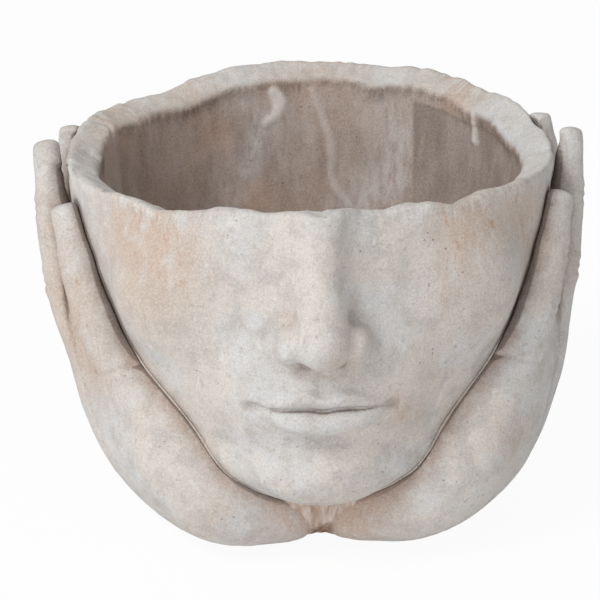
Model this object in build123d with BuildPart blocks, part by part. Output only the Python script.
from build123d import *

import os
from collections import namedtuple
from math import cos, radians, sin, sqrt

# Head planter: a cast cement bowl in the shape of the lower half of a head, cut off below the
# eyes, cupped by two cast hands that are bedded against it and jointed with mortar at the wrists.
# Millimetres, +Z up, the face looks along -Y, the origin is under the middle on the standing surface.

# Felt pads that the planter stands on, two under the hands' heels and two under the bowl's foot
PAD_THICKNESS = 2.0
PAD_RADIUS = 8.0
PAD_EDGE_MARGIN = 3.0
HEEL_PAD_X = 27.0
HEEL_PAD_Y = -27.0

# Bowl
HEAD_AXIS_Y = 8.0
WALL = 11.0
FLOOR_THICKNESS = 17.0
FLOOR_HALF_WIDTH = 24.0
FLOOR_FRONT = 15.0
FLOOR_BACK = 34.0
CORE_FULLNESS = 2.8
RIM_BACK_HEIGHT = 145.0
RIM_SIDE_HEIGHT = 137.0
RIM_FRONT_HEIGHT = 139.0
RIM_ROUNDING = 3.5
STOCK_ABOVE_RIM = 12.0
SECTION_STEP = 13.0

# Face
NOSE_TIP_PROUD = 16.6
NOSE_ROOT = 4.0
NOSE_BASE_HEIGHT = 87.0
NOSE_WING_RADIUS = 8.5
NOSE_WING_SPACING = 23.0
MOUTH_HEIGHT = 70.0
MOUTH_HALF_WIDTH = 25.0
LIP_HALF_HEIGHT = 4.6
LIP_CORNER_HALF_HEIGHT = 0.8
LIP_PROUD = 4.0
LIP_SPACING = 7.5

# Drain and its rubber plug
DRAIN_RADIUS = 9.0
PLUG_CLEARANCE = 0.2
PLUG_TAPER = 1.0
PLUG_RECESS = 3.0
PLUG_FLANGE_LAP = 4.0
PLUG_FLANGE_THICKNESS = 4.0
PLUG_GRIP_RADIUS = 4.0
PLUG_GRIP_HEIGHT = 7.0
PLUG_ROUNDING = 1.5

# Hands and the mortar between their wrists
MORTAR_THICKNESS = 4.0
MORTAR_INSET = 1.5
FINGER_BEDDING = 1.5
FINGERTIP_SWELL = 1.04
WRIST_HEIGHT = 14.0
WRIST_THICKNESS = 22.0
WRIST_LITTLE_EDGE = -50.0
WRIST_INDEX_EDGE = 4.0
WRIST_CUP = 3.0

RIM_TOP = max(RIM_BACK_HEIGHT, RIM_SIDE_HEIGHT, RIM_FRONT_HEIGHT)
STOCK_TOP = RIM_TOP + STOCK_ABOVE_RIM
FLOOR_TOP = PAD_THICKNESS + FLOOR_THICKNESS

# Outline of the head at a height: half its width, and how far it reaches to the front and the back
Station = namedtuple("Station", "height half_width front back")
HEAD_STATIONS = (
    Station(height=PAD_THICKNESS, half_width=35.0, front=24.0, back=46.0),
    Station(height=14.0, half_width=37.0, front=28.0, back=48.0),
    Station(height=26.0, half_width=46.0, front=54.0, back=56.0),
    Station(height=38.0, half_width=56.0, front=71.0, back=64.0),
    Station(height=54.0, half_width=67.0, front=69.0, back=72.0),
    Station(height=75.0, half_width=77.0, front=71.0, back=79.5),
    Station(height=100.0, half_width=84.0, front=70.0, back=84.5),
    Station(height=125.0, half_width=87.5, front=67.5, back=87.0),
    Station(height=STOCK_TOP, half_width=88.0, front=64.0, back=87.0),
)

# Sections of the nose: share of the rise from its base to the stock's top, half its width there,
# and how proud of the face its ridge is, as a share of the tip's
NoseStation = namedtuple("NoseStation", "rise half_width proud")
NOSE_STATIONS = (
    NoseStation(rise=0.0, half_width=11.0, proud=0.44),
    NoseStation(rise=0.11, half_width=12.5, proud=1.0),
    NoseStation(rise=0.3, half_width=13.0, proud=0.82),
    NoseStation(rise=0.56, half_width=14.5, proud=0.56),
    NoseStation(rise=1.0, half_width=16.0, proud=0.4),
)
LIP_SHARES = (-1.0, -0.5, 0.0, 0.5, 1.0)

# Round swells of the face, the cheeks, the mouth's and the chin: place across it and height of the
# middle, how proud of the plain face it is, half its width, and its radius
Swell = namedtuple("Swell", "x height proud half_width radius")
FACE_SWELLS = (
    Swell(x=-46.0, height=106.0, proud=4.5, half_width=27.0, radius=26.0),
    Swell(x=46.0, height=106.0, proud=4.5, half_width=27.0, radius=26.0),
    Swell(x=0.0, height=73.0, proud=3.5, half_width=37.0, radius=24.0),
    Swell(x=0.0, height=43.0, proud=3.2, half_width=22.0, radius=15.0),
)

# Sections of a hand from the wrist to the web between its fingers. stand_off is from the head's
# half width at that height to the middle of the hand, slope is how steeply the hand rises there,
# little and index are its little-finger and index-finger edges, and cup is how far they curl in.
PalmStation = namedtuple("PalmStation", "height stand_off slope thickness little index cup")
WRIST = PalmStation(
    WRIST_HEIGHT, 0.0, 0.0, WRIST_THICKNESS, WRIST_LITTLE_EDGE, WRIST_INDEX_EDGE, WRIST_CUP
)
PALM_STATIONS = (
    PalmStation(height=16.0, stand_off=-21.0, slope=5.0, thickness=30.0, little=-56.0, index=10.0, cup=3.0),
    PalmStation(height=20.4, stand_off=-1.0, slope=18.0, thickness=38.0, little=-61.0, index=22.0, cup=6.0),
    PalmStation(height=29.0, stand_off=10.3, slope=42.0, thickness=35.0, little=-59.0, index=36.0, cup=12.0),
    PalmStation(height=46.0, stand_off=11.2, slope=62.0, thickness=29.0, little=-51.0, index=46.0, cup=16.0),
    PalmStation(height=64.0, stand_off=9.5, slope=76.0, thickness=20.0, little=-40.0, index=48.0, cup=15.0),
    PalmStation(height=77.0, stand_off=6.5, slope=84.0, thickness=11.0, little=-32.0, index=44.0, cup=12.0),
)

# Rings along a finger from inside the knuckle to the tip: place on the head's side (along Y and
# up), lift off the head's skin, and radius
Ring = namedtuple("Ring", "y z lift radius")
FINGERS = {
    "little": (
        Ring(-33.0, 56.0, 0.0, 9.5),
        Ring(-28.0, 75.0, 0.0, 8.8),
        Ring(-19.0, 98.0, 0.0, 7.6),
        Ring(-9.0, 122.5, 0.0, 6.0),
    ),
    "ring": (
        Ring(-11.0, 54.0, 0.0, 9.8),
        Ring(-6.0, 78.0, 0.0, 9.0),
        Ring(3.0, 107.0, 0.3, 7.6),
        Ring(11.0, 137.5, 1.0, 6.2),
    ),
    "middle": (
        Ring(12.0, 52.0, 0.0, 10.0),
        Ring(17.0, 78.0, 0.5, 9.2),
        Ring(25.0, 108.0, 0.2, 7.6),
        Ring(33.0, 136.5, 0.0, 5.6),
    ),
    "index": (
        Ring(31.0, 48.0, 1.0, 9.0),
        Ring(38.0, 74.0, 0.5, 8.8),
        Ring(46.5, 102.0, 1.0, 7.9),
        Ring(53.0, 129.0, 2.0, 6.4),
    ),
    "thumb": (
        Ring(4.0, 22.0, 1.0, 9.0),
        Ring(33.0, 33.0, 0.0, 11.0),
        Ring(55.0, 56.0, 0.0, 10.0),
        Ring(65.0, 84.0, 1.0, 7.6),
    ),
}


def outline_at(height):
    """The head's outline at a height, on smooth lines through the stations."""
    last = len(HEAD_STATIONS) - 1
    low = max(i for i in range(last) if i == 0 or HEAD_STATIONS[i].height <= height)
    before, start, end, after = (HEAD_STATIONS[min(max(i, 0), last)] for i in range(low - 1, low + 3))
    span = end.height - start.height
    t = (height - start.height) / span
    values = [height]
    for name in ("half_width", "front", "back"):
        p, q = getattr(start, name), getattr(end, name)
        slope_p = span * (q - getattr(before, name)) / (end.height - before.height)
        slope_q = span * (getattr(after, name) - p) / (after.height - start.height)
        cubic = (2 * p - 2 * q + slope_p + slope_q) * t**3 + (3 * q - 3 * p - 2 * slope_p - slope_q) * t**2
        values.append(cubic + slope_p * t + p)
    return Station(*values)


def head_side(y, height):
    """How far out the head's side stands at a place along Y and a height."""
    here = outline_at(height)
    reach = here.back - HEAD_AXIS_Y if y > HEAD_AXIS_Y else here.front + HEAD_AXIS_Y
    return here.half_width * sqrt(max(0.0, 1.0 - ((y - HEAD_AXIS_Y) / reach) ** 2))


def head_front(x, height):
    """How far forward the face stands at a distance from the middle and a height."""
    here = outline_at(height)
    return (here.front + HEAD_AXIS_Y) * sqrt(1.0 - (x / here.half_width) ** 2) - HEAD_AXIS_Y


def head_outline(station):
    """Four quarter ellipses that share the line where the head is widest."""
    front_radius = station.front + HEAD_AXIS_Y
    back_radius = station.back - HEAD_AXIS_Y
    for start, radius in ((0, back_radius), (90, back_radius), (180, front_radius), (270, front_radius)):
        EllipticalCenterArc(
            (0, HEAD_AXIS_Y), station.half_width, radius, start_angle=start, arc_size=90
        )


def section_heights(lowest):
    """Evenly spaced heights from the lowest up to the stock above the rim."""
    rise = STOCK_TOP - lowest
    count = round(rise / SECTION_STEP)
    return [lowest + rise * i / count for i in range(count + 1)]


def cavity_at(height):
    """The cavity's outline at a height. It only widens upwards, so that the core draws out."""
    mouth = HEAD_STATIONS[-1]
    share = 1 - (1 - (height - FLOOR_TOP) / (STOCK_TOP - FLOOR_TOP)) ** CORE_FULLNESS
    return Station(
        height,
        FLOOR_HALF_WIDTH + (mouth.half_width - WALL - FLOOR_HALF_WIDTH) * share,
        FLOOR_FRONT + (mouth.front - WALL - FLOOR_FRONT) * share,
        FLOOR_BACK + (mouth.back - WALL - FLOOR_BACK) * share,
    )


def palm_section(x, station):
    """A flat oblong across the hand, bent round the head and square to the way the hand rises."""
    slope = radians(station.slope)
    middle = (station.little + station.index) / 2
    half_length = (station.index - station.little - station.thickness) / 2
    plane = Plane((x, middle, station.height), x_dir=(0, 1, 0), z_dir=(cos(slope), 0, sin(slope)))
    with BuildSketch(plane) as section:
        with BuildLine():
            bend = ThreePointArc((-half_length, station.cup), (0, 0), (half_length, station.cup))
        SlotArc(bend.edge(), station.thickness)
    return section.sketch


def finger_planes(rings):
    """The planes of a finger's rings, each square to the finger."""
    points = [Vector(head_side(r.y, r.z) + r.radius - FINGER_BEDDING + r.lift, r.y, r.z) for r in rings]
    steps = [(b - a).normalized() for a, b in zip(points, points[1:])]
    directions = [steps[0]] + [(a + b).normalized() for a, b in zip(steps, steps[1:])] + [steps[-1]]
    return [Plane(p, x_dir=(0, 1, 0), z_dir=d) for p, d in zip(points, directions)]


# The head, solid, up to above its rim
with BuildPart() as head:
    for height in section_heights(PAD_THICKNESS):
        with BuildSketch(Plane.XY.offset(height)):
            with BuildLine():
                head_outline(outline_at(height))
            make_face()
    loft()

# What is above the rim line, which is lowest at the temples and highest at the back
with BuildPart() as above_rim:
    half_span = 2 * HEAD_STATIONS[-1].half_width
    with BuildSketch(Plane.YZ.offset(-half_span)):
        with BuildLine():
            front_end = (-HEAD_STATIONS[-1].front - 2 * NOSE_TIP_PROUD, RIM_FRONT_HEIGHT)
            back_end = (HEAD_STATIONS[-1].back + STOCK_ABOVE_RIM, RIM_BACK_HEIGHT)
            rim_line = Spline(
                front_end,
                (-HEAD_STATIONS[-1].front, RIM_FRONT_HEIGHT),
                (HEAD_AXIS_Y, RIM_SIDE_HEIGHT),
                (HEAD_STATIONS[-1].back, RIM_BACK_HEIGHT),
                back_end,
            )
            clear_height = 2 * STOCK_TOP
            Polyline(rim_line @ 1, (back_end[0], clear_height), (front_end[0], clear_height), rim_line @ 0)
        make_face()
    extrude(amount=2 * half_span)

# The nose with its two wings, rooted in the wall
with BuildPart() as nose:
    for station in NOSE_STATIONS:
        height = NOSE_BASE_HEIGHT + station.rise * (STOCK_TOP - NOSE_BASE_HEIGHT)
        ridge = NOSE_ROOT + NOSE_TIP_PROUD * station.proud
        with BuildSketch(Plane.XY.offset(height)):
            with BuildLine():
                root = (0, NOSE_ROOT - head_front(0, height))
                front = EllipticalCenterArc(root, station.half_width, ridge, start_angle=180, arc_size=180)
                Line(front @ 1, front @ 0)
            make_face()
    loft()
    add(above_rim.part, mode=Mode.SUBTRACT)
    wing_height = NOSE_BASE_HEIGHT + NOSE_WING_RADIUS
    wing_reach = head_front(NOSE_WING_SPACING / 2, wing_height)
    with Locations((0, -wing_reach, wing_height)):
        with GridLocations(NOSE_WING_SPACING, 0, 2, 1):
            Sphere(NOSE_WING_RADIUS)

# The swells of the face
with BuildPart() as swells:
    for swell in FACE_SWELLS:
        depth = swell.radius - swell.proud
        middle = Vector(swell.x, depth - head_front(swell.x, swell.height), swell.height)
        with BuildSketch(Plane(middle)):
            with BuildLine():
                bulge = EllipticalCenterArc(
                    (0, 0), swell.half_width, swell.radius, start_angle=180, arc_size=180
                )
                Line(bulge @ 1, bulge @ 0)
            make_face()
        revolve(axis=Axis(middle, (1, 0, 0)))

# The lower and the upper lip
with BuildPart() as lips:
    for side in (-1, 1):
        for share in LIP_SHARES:
            x = share * MOUTH_HALF_WIDTH
            fullness = 1 - share**2
            height = MOUTH_HEIGHT + side * LIP_SPACING / 2 * fullness
            half_height = LIP_CORNER_HALF_HEIGHT + (LIP_HALF_HEIGHT - LIP_CORNER_HALF_HEIGHT) * fullness
            middle = (x, -head_front(x, height), height)
            with BuildSketch(Plane(middle, x_dir=(0, 1, 0), z_dir=(1, 0, 0))):
                Ellipse(LIP_PROUD * half_height / LIP_HALF_HEIGHT, half_height)
        loft()

# The cast bowl
with BuildPart() as face_bowl:
    add(head.part)
    add(swells.part)
    # cavity
    for height in section_heights(FLOOR_TOP):
        with BuildSketch(Plane.XY.offset(height)):
            with BuildLine():
                head_outline(cavity_at(height))
            make_face()
    loft(mode=Mode.SUBTRACT)
    # rim
    add(above_rim.part, mode=Mode.SUBTRACT)
    fillet(face_bowl.faces().filter_by(GeomType.EXTRUSION).edges(), min(RIM_ROUNDING, WALL / 3))
    # face
    add(nose.part)
    add(lips.part)
    # drain
    with Locations((0, HEAD_AXIS_Y, FLOOR_TOP)):
        Hole(DRAIN_RADIUS, 2 * FLOOR_THICKNESS)
face_bowl.part.label = "face_bowl"

# One hand, the head's left, on +X
with BuildPart() as left_hand:
    palm = [palm_section(MORTAR_THICKNESS / 2, WRIST)]
    for station in PALM_STATIONS:
        palm.append(palm_section(outline_at(station.height).half_width + station.stand_off, station))
    loft(palm)
    for rings in FINGERS.values():
        planes = finger_planes(rings)
        for plane, ring in zip(planes, rings):
            with BuildSketch(plane):
                Circle(ring.radius)
        loft()
        with Locations(planes[-1].origin):
            Sphere(rings[-1].radius * FINGERTIP_SWELL)
    add(head.part, mode=Mode.SUBTRACT)
    split(bisect_by=Plane.XY.offset(PAD_THICKNESS), keep=Keep.TOP)
left_hand.part.label = "left_hand"

# The other hand, its mirror image
with BuildPart() as right_hand:
    mirror(left_hand.part, about=Plane.YZ)
right_hand.part.label = "right_hand"

# Mortar between the flat ends of the two wrists
mortar_outline = WRIST._replace(
    thickness=WRIST_THICKNESS - 2 * MORTAR_INSET,
    little=WRIST_LITTLE_EDGE + MORTAR_INSET,
    index=WRIST_INDEX_EDGE - MORTAR_INSET,
)
with BuildPart() as wrist_mortar:
    extrude(palm_section(-MORTAR_THICKNESS / 2, mortar_outline), amount=MORTAR_THICKNESS)
    add(head.part, mode=Mode.SUBTRACT)
    split(bisect_by=Plane.XY.offset(PAD_THICKNESS), keep=Keep.TOP)
wrist_mortar.part.label = "wrist_mortar"

# Rubber plug, its flange lying on the bowl's floor
with BuildPart() as drain_plug:
    shaft_radius = DRAIN_RADIUS - PLUG_CLEARANCE
    flange_radius = DRAIN_RADIUS + PLUG_FLANGE_LAP
    flange_top = FLOOR_TOP + PLUG_FLANGE_THICKNESS
    grip_top = flange_top + PLUG_GRIP_HEIGHT
    shaft_bottom = PAD_THICKNESS + PLUG_RECESS
    with BuildSketch(Plane((0, HEAD_AXIS_Y, 0), x_dir=(1, 0, 0), z_dir=(0, -1, 0))):
        with BuildLine():
            Polyline(
                (0, shaft_bottom),
                (shaft_radius - PLUG_TAPER, shaft_bottom),
                (shaft_radius, FLOOR_TOP),
                (flange_radius, FLOOR_TOP),
                (flange_radius, flange_top),
                (PLUG_GRIP_RADIUS, flange_top),
                (PLUG_GRIP_RADIUS, grip_top),
                (0, grip_top),
                close=True,
            )
        make_face()
    revolve(axis=Axis((0, HEAD_AXIS_Y, 0), (0, 0, 1)))
    fillet(drain_plug.edges().filter_by_position(Axis.Z, flange_top, grip_top), PLUG_ROUNDING)
drain_plug.part.label = "drain_plug"

# Felt pads
foot = HEAD_STATIONS[0]
foot_pad_x = (foot.half_width - PAD_RADIUS - PAD_EDGE_MARGIN) / sqrt(2)
foot_pad_y = HEAD_AXIS_Y + (foot.back - HEAD_AXIS_Y - PAD_RADIUS - PAD_EDGE_MARGIN) / sqrt(2)
PAD_PLACES = {
    "pad_front_left": (HEEL_PAD_X, HEEL_PAD_Y),
    "pad_front_right": (-HEEL_PAD_X, HEEL_PAD_Y),
    "pad_rear_left": (foot_pad_x, foot_pad_y),
    "pad_rear_right": (-foot_pad_x, foot_pad_y),
}
pieces = [face_bowl, left_hand, right_hand, wrist_mortar, drain_plug]
for name, place in PAD_PLACES.items():
    with BuildPart() as pad:
        with BuildSketch():
            with Locations(place):
                Circle(PAD_RADIUS)
        extrude(amount=PAD_THICKNESS)
    pad.part.label = name
    pieces.append(pad)

os.makedirs("parts", exist_ok=True)
for piece in pieces:
    export_step(piece.part, f"parts/{piece.part.label}.step")
